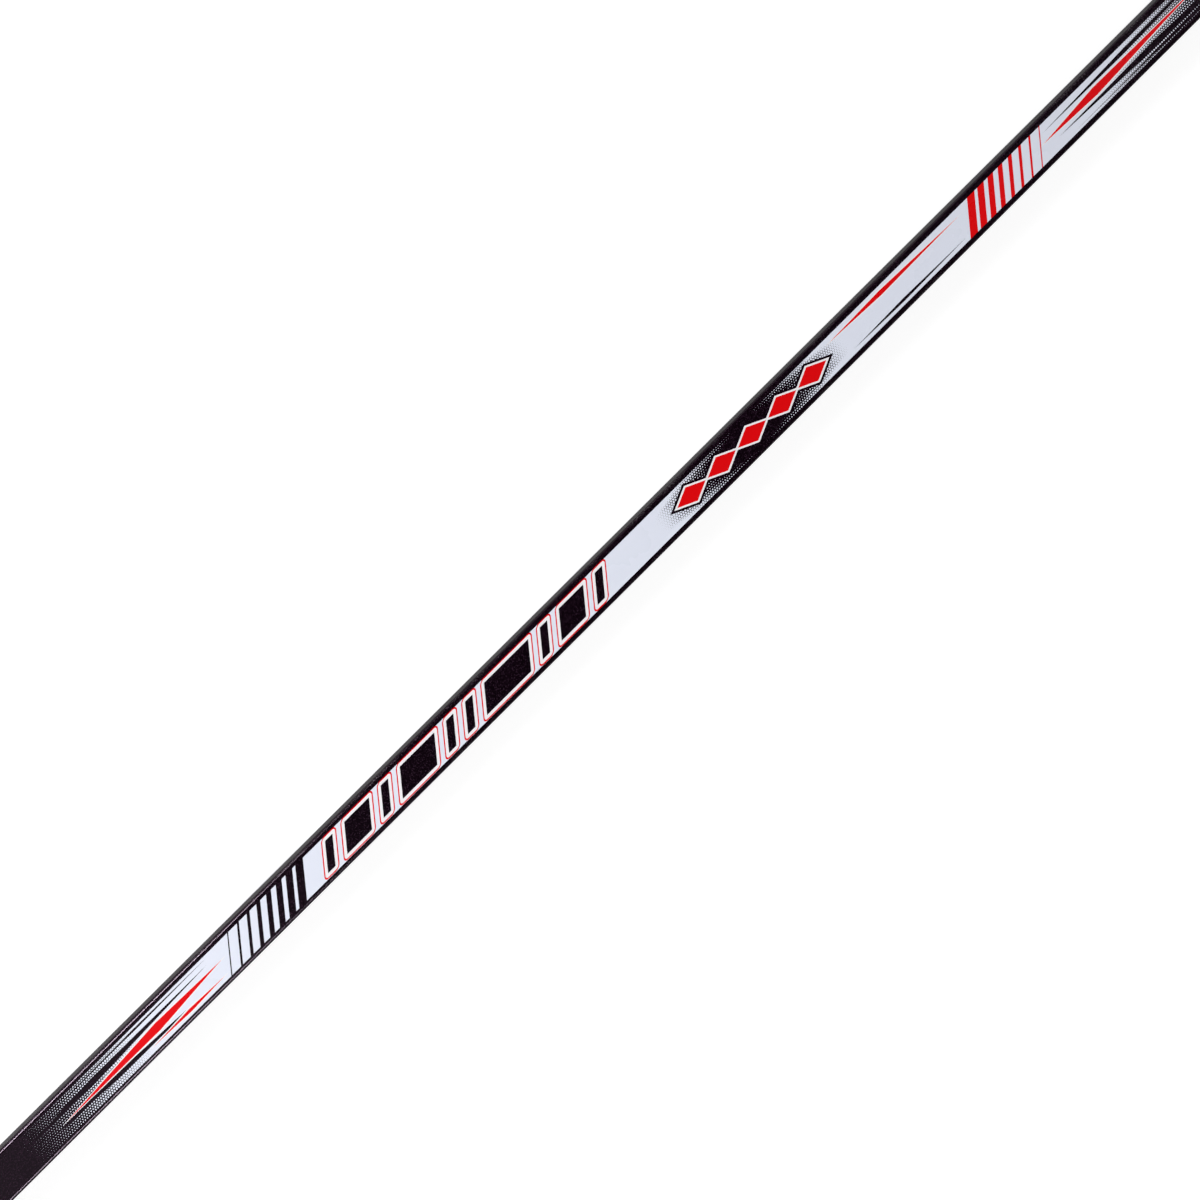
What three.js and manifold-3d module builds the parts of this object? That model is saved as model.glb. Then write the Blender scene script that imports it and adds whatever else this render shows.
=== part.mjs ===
// Ringette stick: a hollow composite shaft with a moulded tip glued into one end and a plug into the other.
// The stick lies on its back face. X runs from the tip to the butt, Y across the wide faces and Z up,
// and the origin is under the middle of the stick. Lengths are in millimetres.

import * as THREE from 'three';
import { mergeVertices } from 'three/addons/utils/BufferGeometryUtils.js';
import Module from 'manifold-3d';

const wasm = await Module();
wasm.setup();

// Shaft: a box section with one wall thickness and rounded corners
const shaftLength = 1205;
const shaftWidth = 26;
const shaftDepth = 18;
const shaftWall = 1.6;
const shaftCornerRadius = 2.4;
const boreCornerRadius = 1.2;

// Hot-melt bond between the bore and what is glued into it
const glueThickness = 0.5;

// Tip: a full-size collar, a taper that grows more oval, and a nose rounded like a thumb
const tipReach = 105;
const collarLength = 14;
const tipEndWidth = 21;
const tipEndDepth = 12.5;
const noseLength = 11;
const noseDepthRound = 7;
const taperOvalShare = 0.45;
const tenonLength = 60;
const tenonLeadIn = 3;
const tenonEndShare = 0.88;

// The small chamfer that shows as a line where the tip and the plug meet the shaft
const jointChamfer = 0.4;

// Drag grooves across both wide faces of the tip
const grooveCount = 10;
const groovePitch = 7;
const grooveWidth = 3.2;
const grooveDepth = 0.9;
const firstGrooveFromNose = 18;

// Foam plug in the bore behind the tenon
const foamLength = 40;
const foamGap = 1;

// Butt plug: a flange as large as the shaft, and a hollow spigot in the bore
const flangeThickness = 10;
const flangeRound = 2.5;
const flangeEndWall = 3;
const spigotLength = 42;
const spigotWall = 2;

// Printed films on the flats of the two wide faces, which stop short of the shaft's ends
const filmEndMargin = 87.5;
const filmThickness = 0.15;
const filmEdgeMargin = 0.2;
const filmCornerRadius = 1.5;

// How far a cut runs past what it cuts, and how finely curves are divided
const overrun = 1;
const cornerDivisions = 3;
const tipFlatDivisions = 6;
const taperSteps = 4;
const noseSteps = 9;
const roundSteps = 5;
const grooveDivisions = 20;

// Places along the stick
const overallLength = tipReach + shaftLength + flangeThickness;
const noseX = -overallLength / 2;
const shoulderX = noseX + tipReach;
const shaftEndX = shoulderX + shaftLength;
const buttX = shaftEndX + flangeThickness;
const collarX = shoulderX - collarLength;
const tenonEndX = shoulderX + tenonLength;
const spigotEndX = shaftEndX - spigotLength;
const centreZ = filmThickness + shaftDepth / 2;

// Sections that fit in one another
const boreWidth = shaftWidth - 2 * shaftWall;
const boreDepth = shaftDepth - 2 * shaftWall;
const tenonWidth = boreWidth - 2 * glueThickness;
const tenonDepth = boreDepth - 2 * glueThickness;
const filmWidth = shaftWidth - 2 * shaftCornerRadius - 2 * filmEdgeMargin;
const filmLength = shaftLength - 2 * filmEndMargin;

const stickAxes = new THREE.Matrix4().makeBasis(
  new THREE.Vector3(0, 1, 0),
  new THREE.Vector3(0, 0, 1),
  new THREE.Vector3(1, 0, 0),
);

// A rectangle with rounded corners, centred on the origin, with each flat side in equal lengths
function roundedRectangle(width, depth, radius, flatDivisions = 1, path = new THREE.Shape()) {
  const x = width / 2 - radius;
  const y = depth / 2 - radius;
  const corners = [[x, y], [-x, y], [-x, -y], [x, -y]];
  const quarter = Math.PI / 2;
  path.moveTo(x + radius, -y);
  corners.forEach(([cornerX, cornerY], side) => {
    const start = path.currentPoint.clone();
    const end = new THREE.Vector2(cornerX, cornerY)
      .add(new THREE.Vector2(radius, 0).rotateAround(new THREE.Vector2(), side * quarter));
    for (let i = 1; i < flatDivisions; i += 1) {
      const point = start.clone().lerp(end, i / flatDivisions);
      path.lineTo(point.x, point.y);
    }
    path.absarc(cornerX, cornerY, radius, side * quarter, (side + 1) * quarter, false);
  });
  path.closePath();
  return path;
}

// Runs a section along the stick through stations. Each has its place, its size as shares of the section's,
// and how far the section has gone from its own shape towards the oval that fits round the same box.
function loft(section, stations) {
  const steps = stations.length - 1;
  const options = { depth: 1, steps, bevelEnabled: false, curveSegments: cornerDivisions };
  const geometry = new THREE.ExtrudeGeometry(section, options);
  geometry.computeBoundingBox();
  const half = geometry.boundingBox.max.clone();
  const points = geometry.attributes.position;
  for (let i = 0; i < points.count; i += 1) {
    const station = stations[Math.round(points.getZ(i) * steps)];
    const angle = Math.atan2(points.getY(i) / half.y, points.getX(i) / half.x);
    const across = THREE.MathUtils.lerp(points.getX(i), half.x * Math.cos(angle), station.ovalShare);
    const up = THREE.MathUtils.lerp(points.getY(i), half.y * Math.sin(angle), station.ovalShare);
    points.setXYZ(i, across * station.widthShare, up * station.depthShare, station.x);
  }
  geometry.applyMatrix4(stickAxes);
  geometry.translate(0, 0, centreZ);
  geometry.computeVertexNormals();
  return geometry;
}

// A straight bar of one section
function bar(section, fromX, toX) {
  return loft(section, [
    { x: fromX, widthShare: 1, depthShare: 1, ovalShare: 0 },
    { x: toX, widthShare: 1, depthShare: 1, ovalShare: 0 },
  ]);
}

// A station of the shaft's own section, drawn in by the same distance on every side
function insetStation(x, inset) {
  return {
    x,
    widthShare: 1 - (2 * inset) / shaftWidth,
    depthShare: 1 - (2 * inset) / shaftDepth,
    ovalShare: 0,
  };
}

function toSolid(geometry) {
  const bare = geometry.clone();
  bare.deleteAttribute('normal');
  bare.deleteAttribute('uv');
  const welded = mergeVertices(bare);
  return new wasm.Manifold(new wasm.Mesh({
    numProp: 3,
    vertProperties: new Float32Array(welded.attributes.position.array),
    triVerts: new Uint32Array(welded.index.array),
  }));
}

function toGeometry(solid) {
  const mesh = solid.getMesh();
  const geometry = new THREE.BufferGeometry();
  geometry.setAttribute('position', new THREE.BufferAttribute(mesh.vertProperties, 3));
  geometry.setIndex(new THREE.BufferAttribute(mesh.triVerts, 1));
  geometry.computeVertexNormals();
  return geometry;
}

// How far the tip has grown from its end size to the shaft's, from 0 at the nose to 1 at the collar
function taperShareAt(x) {
  const taperStart = noseX + noseLength;
  return THREE.MathUtils.clamp((x - taperStart) / (collarX - taperStart), 0, 1);
}

function tipWidthAt(x) {
  return THREE.MathUtils.lerp(tipEndWidth, shaftWidth, taperShareAt(x));
}

function tipDepthAt(x) {
  return THREE.MathUtils.lerp(tipEndDepth, shaftDepth, taperShareAt(x));
}

// How full a rounded end is at a distance from its end, where the rounding has the stated length
function roundShare(distance, length) {
  const left = 1 - Math.min(distance / length, 1);
  return Math.sqrt(1 - left ** 2);
}

function noseStation(distance) {
  const x = noseX + distance;
  const noseShare = 1 - distance / noseLength;
  return {
    x,
    widthShare: (tipWidthAt(x) / shaftWidth) * roundShare(distance, noseLength),
    depthShare: (tipDepthAt(x) / shaftDepth) * roundShare(distance, noseDepthRound),
    ovalShare: THREE.MathUtils.lerp(taperOvalShare, 1, noseShare),
  };
}

function taperStation(x) {
  return {
    x,
    widthShare: tipWidthAt(x) / shaftWidth,
    depthShare: tipDepthAt(x) / shaftDepth,
    ovalShare: taperOvalShare * (1 - taperShareAt(x)),
  };
}

// Round grooves of the stated width and depth, across one wide face (side 1 is the front, -1 the back)
function grooveCutters(side) {
  const radius = (grooveWidth ** 2 / 4 + grooveDepth ** 2) / (2 * grooveDepth);
  const cutters = [];
  for (let i = 0; i < grooveCount; i += 1) {
    const x = noseX + firstGrooveFromNose + i * groovePitch;
    const surface = tipDepthAt(x) / 2;
    const cutter = new THREE.CylinderGeometry(radius, radius, shaftWidth + 2 * overrun, grooveDivisions);
    cutter.translate(x, 0, centreZ + side * (surface + radius - grooveDepth));
    cutters.push(toSolid(cutter));
  }
  return cutters;
}

function makeTipBody() {
  const section = roundedRectangle(shaftWidth, shaftDepth, shaftCornerRadius, tipFlatDivisions);
  const stations = [];
  for (let i = 1; i <= noseSteps; i += 1) {
    const angle = (i / noseSteps) * (Math.PI / 2);
    stations.push(noseStation(noseLength * (1 - Math.cos(angle))));
  }
  stations[0].x = noseX;
  for (let i = 1; i <= taperSteps; i += 1) {
    stations.push(taperStation(THREE.MathUtils.lerp(noseX + noseLength, collarX, i / taperSteps)));
  }
  stations.push(insetStation(shoulderX - jointChamfer, 0));
  stations.push(insetStation(shoulderX, jointChamfer));
  const tenonSection = roundedRectangle(tenonWidth, tenonDepth, boreCornerRadius);
  const tenon = loft(tenonSection, [
    { x: shoulderX - overrun, widthShare: 1, depthShare: 1, ovalShare: 0 },
    { x: tenonEndX - tenonLeadIn, widthShare: 1, depthShare: 1, ovalShare: 0 },
    { x: tenonEndX, widthShare: tenonEndShare, depthShare: tenonEndShare, ovalShare: 0 },
  ]);
  let solid = toSolid(loft(section, stations)).add(toSolid(tenon));
  for (const cutter of [...grooveCutters(1), ...grooveCutters(-1)]) {
    solid = solid.subtract(cutter);
  }
  return toGeometry(solid);
}

function makeButtPlug() {
  const section = roundedRectangle(shaftWidth, shaftDepth, shaftCornerRadius);
  const stations = [insetStation(shaftEndX, jointChamfer), insetStation(shaftEndX + jointChamfer, 0)];
  for (let i = 0; i <= roundSteps; i += 1) {
    const angle = (i / roundSteps) * (Math.PI / 2);
    const x = buttX - flangeRound * (1 - Math.sin(angle));
    stations.push(insetStation(x, flangeRound * (1 - Math.cos(angle))));
  }
  const spigot = roundedRectangle(tenonWidth, tenonDepth, boreCornerRadius);
  const hollow = roundedRectangle(
    tenonWidth - 2 * spigotWall,
    tenonDepth - 2 * spigotWall,
    boreCornerRadius,
  );
  const solid = toSolid(loft(section, stations))
    .add(toSolid(bar(spigot, spigotEndX, shaftEndX + overrun)))
    .subtract(toSolid(bar(hollow, spigotEndX - overrun, buttX - flangeEndWall)));
  return toGeometry(solid);
}

function makeShaftTube() {
  const section = roundedRectangle(shaftWidth, shaftDepth, shaftCornerRadius);
  section.holes.push(roundedRectangle(boreWidth, boreDepth, boreCornerRadius, 1, new THREE.Path()));
  return bar(section, shoulderX, shaftEndX);
}

// The bond fills the space between the bore and the tenon or spigot
function makeGlueSleeve(fromX, toX) {
  const section = roundedRectangle(boreWidth, boreDepth, boreCornerRadius);
  section.holes.push(roundedRectangle(tenonWidth, tenonDepth, boreCornerRadius, 1, new THREE.Path()));
  return bar(section, fromX, toX);
}

function makeFoamStopper() {
  const section = roundedRectangle(boreWidth, boreDepth, boreCornerRadius);
  const fromX = tenonEndX + foamGap;
  return bar(section, fromX, fromX + foamLength);
}

// A film lies on the flat of a wide face, centred on the shaft's length
function makeFilm(undersideZ) {
  const outline = roundedRectangle(filmLength, filmWidth, filmCornerRadius);
  const options = { depth: filmThickness, bevelEnabled: false, curveSegments: cornerDivisions };
  const geometry = new THREE.ExtrudeGeometry(outline, options);
  geometry.translate((shoulderX + shaftEndX) / 2, 0, undersideZ);
  return geometry;
}

function piece(name, geometry, color, roughness, metalness = 0) {
  const material = new THREE.MeshStandardMaterial({ color, roughness, metalness });
  const mesh = new THREE.Mesh(geometry, material);
  mesh.name = name;
  return mesh;
}

const stick = new THREE.Group();
stick.name = 'ringette_stick';
stick.add(piece('shaft_tube', makeShaftTube(), 0x241b22, 0.4));
stick.add(piece('front_graphic_film', makeFilm(centreZ + shaftDepth / 2), 0xdfe4ef, 0.35));
stick.add(piece('back_graphic_film', makeFilm(0), 0xdfe4ef, 0.35));
stick.add(piece('tip_body', makeTipBody(), 0x1b1b1e, 0.55));
stick.add(piece('tip_glue_sleeve', makeGlueSleeve(shoulderX, tenonEndX - tenonLeadIn), 0xd9c79c, 0.5));
stick.add(piece('foam_stopper', makeFoamStopper(), 0xe6e2d6, 0.95));
stick.add(piece('butt_plug', makeButtPlug(), 0x17171a, 0.6));
stick.add(piece('plug_glue_sleeve', makeGlueSleeve(spigotEndX, shaftEndX), 0xd9c79c, 0.5));

export default stick;
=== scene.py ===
import functools
import math

import bmesh
import bpy
from bpy.props import FloatProperty, FloatVectorProperty, IntProperty, PointerProperty
from bpy.types import Operator, Panel, PropertyGroup
from mathutils import Matrix, Vector


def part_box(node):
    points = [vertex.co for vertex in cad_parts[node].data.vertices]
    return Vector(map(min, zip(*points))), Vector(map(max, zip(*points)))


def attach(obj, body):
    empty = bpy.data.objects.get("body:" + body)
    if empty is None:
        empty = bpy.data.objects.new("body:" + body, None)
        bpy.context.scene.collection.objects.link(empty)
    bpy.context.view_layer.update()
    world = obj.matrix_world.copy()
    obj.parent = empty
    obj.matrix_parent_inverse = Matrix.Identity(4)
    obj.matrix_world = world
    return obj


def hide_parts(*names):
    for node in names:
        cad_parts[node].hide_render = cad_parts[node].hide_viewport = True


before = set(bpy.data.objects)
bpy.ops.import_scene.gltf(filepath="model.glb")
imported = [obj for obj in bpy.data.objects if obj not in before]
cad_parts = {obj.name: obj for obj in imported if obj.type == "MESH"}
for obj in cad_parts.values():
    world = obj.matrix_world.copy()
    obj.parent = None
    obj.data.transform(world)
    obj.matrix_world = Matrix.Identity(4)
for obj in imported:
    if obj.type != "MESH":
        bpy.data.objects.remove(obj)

bl_info = {
    "name": "Ringette stick",
    "version": (1, 0, 0),
    "blender": (4, 5, 0),
    "location": "3D View > Sidebar > Stick",
    "description": "Dresses a ringette stick: painted shaft, printed films, grooved tip and end plug",
    "category": "Object",
}

BODY = "root"

# Names of the pieces that are made here
SHAFT_PIECE = "painted_shaft"
FRONT_FILM_PIECE = "front_printed_film"
BACK_FILM_PIECE = "back_printed_film"
TIP_PIECE = "grooved_tip"
PLUG_PIECE = "rounded_end_plug"

MM = 0.001
MM_PER_METRE = 1000.0
QUARTER_TURN = math.pi / 2

# What the frame says of where the pieces are
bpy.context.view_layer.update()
SHAFT_LOW, SHAFT_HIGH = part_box("shaft_tube")
TIP_LOW, TIP_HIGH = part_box("tip_body")
PLUG_LOW, PLUG_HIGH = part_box("butt_plug")
TIP_GLUE_LOW, TIP_GLUE_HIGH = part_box("tip_glue_sleeve")
SHAFT_WIDTH = SHAFT_HIGH.y - SHAFT_LOW.y
SHAFT_DEPTH = SHAFT_HIGH.z - SHAFT_LOW.z
SHAFT_WALL = TIP_GLUE_LOW.y - SHAFT_LOW.y
GLUE_THICKNESS = 0.5 * MM
TENON_INSET = SHAFT_WALL + GLUE_THICKNESS
CENTRE_Z = (SHAFT_LOW.z + SHAFT_HIGH.z) / 2

# The floor's grey as the lamps' light finds it, as the camera sees it and as the stick mirrors it,
# and how much it glows to the camera and in the mirrors. To the camera, it glows in full far from
# the stick. That distance counts the whole way across, and a share of the way along the stick.
FLOOR_GREY, FLOOR_SEEN_GREY, FLOOR_MIRRORED_GREY = 0.8, 0.45, 0.3
FLOOR_GLOW, FLOOR_MIRRORED_GLOW = 0.76, 0.02
FLOOR_WHITENING, FLOOR_ALONG_SHARE = (0.6, 1.2), 0.7

# What the stick mirrors above the floor: a white horizon on the +Y side, and a dim ceiling.
# The horizon fades out between two heights and to the side, as parts of a direction of length 1.
HORIZON_FADE, HORIZON_SIDE = (0.05, 0.25), (-0.1, 0.1)
CEILING_SHARE = 0.4

# Where the lamps stand and how large they are. The glints face straight across the stick and the
# others its middle. The keys light the stick and aren't mirrored. The glints are mirrored along its
# edges and don't light it, and a grid keeps their beams narrow.
KEY_PLACE, KEY_SIZE = (-0.95, 1.45, 0.80), (1.4, 1.0)
GLINT_PLACE, GLINT_SIZE, GLINT_SPREAD = (-0.60, 1.27, 1.07), (0.6, 0.3), math.radians(30)
FILL_PLACE, FILL_SIZE = (1.95, 0.0, 1.6), (1.0, 1.6)
VEIL_PLACE, VEIL_SIZE = (-0.78, -0.33, 2.2), (0.9, 0.9)

# How the curves and the long pieces are divided
CORNER_STEPS = 9
FLAT_STEPS = 12
SHAFT_STRIPS = 12
FILM_STRIPS = 7
NOSE_STEPS = 22
TAPER_STEPS = 230
ROUND_STEPS = 8

# From what turn on an edge is left sharp, and from what turn on it is the film's rim
SHARP_ANGLE, RIM_ANGLE = math.radians(32), math.radians(60)

# How far off places and angles may be and still count as the same
MERGE_DISTANCE, SAME_FACE, SAME_EDGE = 0.01 * MM, 0.01 * MM, 0.001 * MM
SAME_ANGLE = math.radians(0.5)

# The nose's first ring is this part of a step from its very end, so the flat left there is tiny
NOSE_FIRST_STEP = 0.35

# Points this share of a groove's width from its middle, or nearer, are pressed into its floor
GROOVE_REACH_SHARE = 0.85

# The maps that the finishes are baked through, as the real length that the map's side stands for.
# The long pieces lie on them in short lengths side by side, so that their patterns stay fine.
MAP_NAME = "OFBake"
FILM_MAP_SIDE, FILM_MAP_GAP = 152 * MM, 0.8 * MM
FILM_HIDDEN_BAND, FILM_HIDDEN_SHARE = 149 * MM, 0.12
SHAFT_MAP_SIDE, SHAFT_MAP_GAP, SHAFT_MAP_ROWS = 345 * MM, 1.5 * MM, 3
SHAFT_BORE_BAND, SHAFT_BORE_SHARE = 309 * MM, 0.22
SHAFT_END_SPOTS = (110 * MM, 140 * MM)


class ShaftSettings(PropertyGroup):
    """The hollow box-section shaft and its paint."""

    corner_radius: FloatProperty(
        name="Corner radius", description="Radius along the shaft's four long edges",
        default=2.4 * MM, unit="LENGTH")
    bore_radius: FloatProperty(
        name="Bore radius", description="Radius along the bore's four long edges",
        default=1.2 * MM, unit="LENGTH")
    paint: FloatVectorProperty(
        name="Paint", description="Colour of the black paint",
        default=(0.0022, 0.0002, 0.0016), subtype="COLOR", size=3)
    fleck: FloatVectorProperty(
        name="Fleck", description="Colour of the fine flecks in the paint",
        default=(0.0155, 0.0062, 0.0135), subtype="COLOR", size=3)
    fleck_size: FloatProperty(
        name="Fleck size", description="How far apart the flecks are",
        default=0.9 * MM, unit="LENGTH")


class FilmSettings(PropertyGroup):
    """The printed films on the two wide faces."""

    corner_radius: FloatProperty(
        name="Corner radius", description="Radius of the film's four corners",
        default=1.5 * MM, unit="LENGTH")
    edge_round: FloatProperty(
        name="Edge round", description="How much of the film's upper edge is rounded off",
        default=0.05 * MM, unit="LENGTH")
    panel_half_width: FloatProperty(
        name="Panel half width", description="Half the width of the silver-white panel",
        default=9.55 * MM, unit="LENGTH")
    dot_pitch: FloatProperty(
        name="Dot pitch", description="Distance between the dots of the fades",
        default=1.66 * MM, unit="LENGTH")
    silver: FloatVectorProperty(
        name="Silver", description="Colour of the silver-white ground",
        default=(0.805, 0.838, 0.948), subtype="COLOR", size=3)
    white: FloatVectorProperty(
        name="White", description="Colour of the white ink of the outlines",
        default=(0.92, 0.905, 0.93), subtype="COLOR", size=3)
    red: FloatVectorProperty(
        name="Red", description="Colour of the red ink",
        default=(0.79, 0.0008, 0.0022), subtype="COLOR", size=3)


class TipSettings(PropertyGroup):
    """The moulded tip with its drag grooves."""

    end_width: FloatProperty(
        name="End width", description="Width of the tip where its nose starts",
        default=21 * MM, unit="LENGTH")
    end_depth: FloatProperty(
        name="End depth", description="Depth of the tip where its nose starts",
        default=12.5 * MM, unit="LENGTH")
    nose_length: FloatProperty(
        name="Nose length", description="Length over which the nose is rounded",
        default=11 * MM, unit="LENGTH")
    nose_depth_round: FloatProperty(
        name="Nose depth round", description="Length of the nose's rounding seen from the side",
        default=7 * MM, unit="LENGTH")
    collar_length: FloatProperty(
        name="Collar length", description="Length of the full-size collar next to the shaft",
        default=14 * MM, unit="LENGTH")
    oval_share: FloatProperty(
        name="Oval share", description="How oval the section is at the start of the nose",
        default=0.45, subtype="FACTOR")
    joint_chamfer: FloatProperty(
        name="Joint chamfer", description="Chamfer where the tip and the plug meet the shaft",
        default=0.4 * MM, unit="LENGTH")
    groove_count: IntProperty(
        name="Grooves", description="Number of drag grooves on each wide face", default=10)
    first_groove: FloatProperty(
        name="First groove", description="Distance from the nose to the first groove",
        default=18 * MM, unit="LENGTH")
    groove_pitch: FloatProperty(
        name="Groove pitch", description="Distance from one groove to the next",
        default=7 * MM, unit="LENGTH")
    groove_width: FloatProperty(
        name="Groove width", description="Width of a drag groove",
        default=3.2 * MM, unit="LENGTH")
    groove_depth: FloatProperty(
        name="Groove depth", description="Depth of a drag groove",
        default=0.9 * MM, unit="LENGTH")
    groove_softness: FloatProperty(
        name="Groove softness", description="How rounded the grooves' rims are",
        default=0.12 * MM, unit="LENGTH")
    parting_height: FloatProperty(
        name="Parting height", description="Height of the mould's parting line",
        default=0.09 * MM, unit="LENGTH")
    parting_spread: FloatProperty(
        name="Parting spread", description="Half the parting line's width, as a sine seen endways",
        default=0.06, subtype="FACTOR")
    parting_fade: FloatProperty(
        name="Parting fade", description="Length over which the parting line dies out",
        default=12 * MM, unit="LENGTH")
    tenon_end_share: FloatProperty(
        name="Tenon end share", description="How much of its section the tenon keeps at its end",
        default=0.88, subtype="FACTOR")
    plastic: FloatVectorProperty(
        name="Plastic", description="Colour of the tip's plastic",
        default=(0.0125, 0.0122, 0.0142), subtype="COLOR", size=3)


class PlugSettings(PropertyGroup):
    """The moulded plug in the butt end."""

    flange_round: FloatProperty(
        name="Flange round", description="Radius of the flange's outer edge",
        default=2.5 * MM, unit="LENGTH")
    end_wall: FloatProperty(
        name="End wall", description="Thickness of the plug's closed end",
        default=3 * MM, unit="LENGTH")
    spigot_wall: FloatProperty(
        name="Spigot wall", description="Wall of the hollow spigot",
        default=2 * MM, unit="LENGTH")
    plastic: FloatVectorProperty(
        name="Plastic", description="Colour of the plug's plastic",
        default=(0.0095, 0.0092, 0.0108), subtype="COLOR", size=3)


class StageSettings(PropertyGroup):
    """The floor, the lamps and the camera."""

    floor_size: FloatProperty(
        name="Floor size", description="Side of the square floor",
        default=9.0, unit="LENGTH")
    camera_distance: FloatProperty(
        name="Camera distance", description="From the camera to the point that it aims at",
        default=2.6, unit="LENGTH")
    lens: FloatProperty(
        name="Lens", description="Focal length of the camera's lens in millimetres",
        default=134.18)
    lean_to_tip: FloatProperty(
        name="Lean to tip", description="How far the camera leans towards the tip",
        default=math.radians(5.586), unit="ROTATION")
    lean_to_side: FloatProperty(
        name="Lean to side", description="How far the camera leans towards the +Y side",
        default=math.radians(8.030), unit="ROTATION")
    roll: FloatProperty(
        name="Roll", description="How far the stick is turned in the picture",
        default=math.radians(44.863), unit="ROTATION")
    aim: FloatVectorProperty(
        name="Aim", description="The point that the camera aims at",
        default=(-2.5 * MM, -7.452 * MM, 9.15 * MM), subtype="TRANSLATION", size=3)
    left_key_power: FloatProperty(
        name="Left key power", description="Power of the lamp on the +Y side in watts",
        default=47.0)
    right_key_power: FloatProperty(
        name="Right key power", description="Power of the lamp on the -Y side in watts",
        default=25.5)
    left_glint_power: FloatProperty(
        name="Left glint power", description="Power of the mirrored lamp on the +Y side in watts",
        default=0.91)
    right_glint_power: FloatProperty(
        name="Right glint power", description="Power of the mirrored lamp on the -Y side in watts",
        default=0.55)
    fill_power: FloatProperty(
        name="Fill power", description="Power of the lamp past the butt end in watts",
        default=15.0)
    veil_power: FloatProperty(
        name="Veil power", description="Power of the faint lamp that the tip end mirrors in watts",
        default=0.9)
    sky: FloatProperty(
        name="Sky", description="Strength of the even light from all round",
        default=0.05)


class Value:
    """One output of a node, used in sums as a number is. value[name] is another output of the node."""

    def __init__(self, wiring, node, output=0):
        self.wiring, self.node, self.output = wiring, node, output

    def __getitem__(self, output):
        return Value(self.wiring, self.node, output)

    def __add__(self, other):
        return self.wiring.maths("ADD", self, other)

    def __radd__(self, other):
        return self.wiring.maths("ADD", other, self)

    def __sub__(self, other):
        return self.wiring.maths("SUBTRACT", self, other)

    def __rsub__(self, other):
        return self.wiring.maths("SUBTRACT", other, self)

    def __mul__(self, other):
        return self.wiring.maths("MULTIPLY", self, other)

    def __truediv__(self, other):
        return self.wiring.maths("DIVIDE", self, other)

    def __rtruediv__(self, other):
        return self.wiring.maths("DIVIDE", other, self)

    def __abs__(self):
        return self.wiring.maths("ABSOLUTE", self)


class Wiring:
    """Adds nodes to one tree. An input is given as a plain value or as another node's Value."""

    def __init__(self, tree):
        self.tree = tree

    def put(self, value, socket):
        if isinstance(value, Value):
            self.tree.links.new(value.node.outputs[value.output], socket)
        else:
            socket.default_value = value

    def node(self, kind, inputs=None, **settings):
        made = self.tree.nodes.new(kind)
        for name, value in settings.items():
            setattr(made, name, value)
        for name, value in (inputs or {}).items():
            self.put(value, made.inputs[name])
        return Value(self, made)

    def maths(self, operation, *values):
        return self.node("ShaderNodeMath", dict(enumerate(values)), operation=operation)

    def group(self, tree, inputs):
        kind = "ShaderNodeGroup" if self.tree.type == "SHADER" else "GeometryNodeGroup"
        return self.node(kind, inputs, node_tree=tree)

    def noise(self, position, size, detail, **more):
        inputs = {"Vector": position, "Scale": 1.0 / size, "Detail": detail, **more}
        return self.node("ShaderNodeTexNoise", inputs)

    def mixed(self, share, first, second):
        """Goes from the first colour to the second as the share goes from 0 to 1."""
        return self.node("ShaderNodeMix", {0: share, 6: first, 7: second}, data_type="RGBA")[2]

    def ramp(self, value, low, high, kind="SMOOTHSTEP"):
        """0 up to the low value, 1 from the high value on, and smooth or even between them."""
        return self.node("ShaderNodeMapRange", {0: value, 1: low, 2: high}, interpolation_type=kind)

    def either(self, values, operation="MINIMUM"):
        """The least, or the greatest, of many values."""
        found = values[0]
        for value in values[1:]:
            found = self.maths(operation, found, value)
        return found

    def parts(self, vector):
        made = self.node("ShaderNodeSeparateXYZ", {0: vector})
        return made, made[1], made[2]


def new_group(kind, name, inputs, outputs, wire):
    """A node group. Its inputs are given as name: (socket type, default)."""
    tree = bpy.data.node_groups.new(name, kind)
    for socket_name, (socket_type, default) in inputs.items():
        socket = tree.interface.new_socket(socket_name, in_out="INPUT", socket_type=socket_type)
        if default is not None:
            socket.default_value = default
    for socket_name, socket_type in outputs.items():
        tree.interface.new_socket(socket_name, in_out="OUTPUT", socket_type=socket_type)
    w = Wiring(tree)
    wire(w, w.node("NodeGroupInput"), w.node("NodeGroupOutput").node.inputs)
    return tree


def node_group(name, inputs, outputs, kind="ShaderNodeTree"):
    """Makes a function that wires a group's inside into one that gives the group, built only once."""

    def turned(wire):
        @functools.wraps(wire)
        def group():
            known = bpy.data.node_groups.get(name)
            return known or new_group(kind, name, inputs, outputs, wire)
        return group

    return turned


def number(default=0.0):
    return "NodeSocketFloat", default


def whole_number(default):
    return "NodeSocketInt", default


def colour(default=(1, 1, 1)):
    return "NodeSocketColor", (*default, 1.0)


def vector():
    return "NodeSocketVector", None


# Shader groups that several finishes share. Levels are values of their noises, from 0 to 1.

FLECK_LEVEL = 0.55
RUBBED_CORNER = (0.1, 0.72)
RUBBED_PATCH_SIZE, RUBBED_PATCH_LEVELS = 22 * MM, (0.5, 0.68)
SCRATCH_SIZE, SCRATCH_LEVELS = 1.1 * MM, (0.46, 0.62)


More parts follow.
